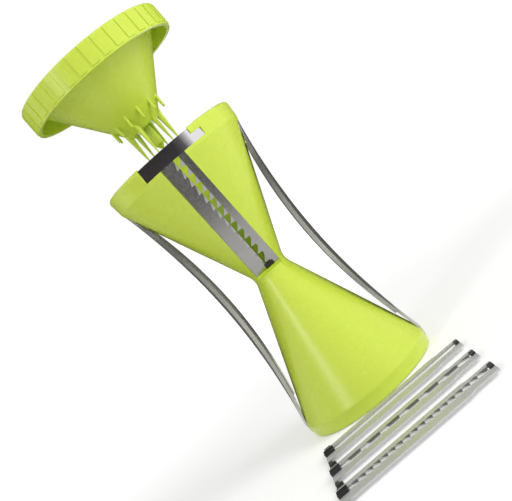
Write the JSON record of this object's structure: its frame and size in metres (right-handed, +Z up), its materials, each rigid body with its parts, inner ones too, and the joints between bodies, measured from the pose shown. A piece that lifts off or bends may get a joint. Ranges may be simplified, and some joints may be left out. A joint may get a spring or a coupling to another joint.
{
  "type": "hand spiral slicer",
  "caption": "Hourglass spiral slicer with a slotted funnel, toothed blade insert, steel grip bows, lifted turning holder with prongs, and spare blade inserts.",
  "frame": {"origin": "centre of the foot's lower edge, on the axis of the hourglass body", "axes": "+Z up the body's axis; -Y out through the blade slot; +X completes the right-handed frame"},
  "size_m": [0.079, 0.159, 0.197],
  "materials": {
    "lime_plastic": "glossy moulded ABS, lime green",
    "blade_steel": "thin stainless strip, fine brushed",
    "band_steel": "polished stainless band",
    "bow_steel": "bent stainless strip, satin",
    "black_plastic": "black moulded plastic, satin"
  },
  "bodies": {
    "body": {"body_shell": "lime_plastic", "mouth_band": "band_steel", "grip_bow_left": "bow_steel", "grip_bow_right": "bow_steel"},
    "holder_pin": {"centre_pin": "lime_plastic"},
    "holder": {"holder_cap": "lime_plastic", "holder_cone": "lime_plastic", "holder_prongs": "lime_plastic"},
    "fitted_insert": {"fitted_blade": "blade_steel", "fitted_comb": "blade_steel", "fitted_clip": "black_plastic", "fitted_foot": "black_plastic"},
    "spare_plain": {"plain_blade": "blade_steel", "plain_guard": "blade_steel", "plain_clip": "black_plastic", "plain_foot": "black_plastic"},
    "spare_wide": {"wide_blade": "blade_steel", "wide_comb": "blade_steel", "wide_clip": "black_plastic", "wide_foot": "black_plastic"},
    "spare_fine": {"fine_blade": "blade_steel", "fine_comb": "blade_steel", "fine_clip": "black_plastic", "fine_foot": "black_plastic"}
  },
  "joints": [
    {"name": "holder_lift", "type": "slide", "parent": "body", "child": "holder_pin", "axis": [0, 0, 1], "range_m": [-0.0433, 0.04]},
    {"name": "holder_turn", "type": "hinge", "parent": "holder_pin", "child": "holder", "pos_m": [0, 0, 0.158], "axis": [0, 0, 1], "continuous": true},
    {"name": "insert_slide", "type": "slide", "parent": "body", "child": "fitted_insert", "axis": [0, -0.3498, 0.9368], "range_m": [0, 0.095]},
    {"name": "spare_plain_lift", "type": "slide", "parent": "body", "child": "spare_plain", "axis": [0, 0, 1], "range_m": [0, 0.05]},
    {"name": "spare_wide_lift", "type": "slide", "parent": "body", "child": "spare_wide", "axis": [0, 0, 1], "range_m": [0, 0.05]},
    {"name": "spare_fine_lift", "type": "slide", "parent": "body", "child": "spare_fine", "axis": [0, 0, 1], "range_m": [0, 0.05]}
  ]
}
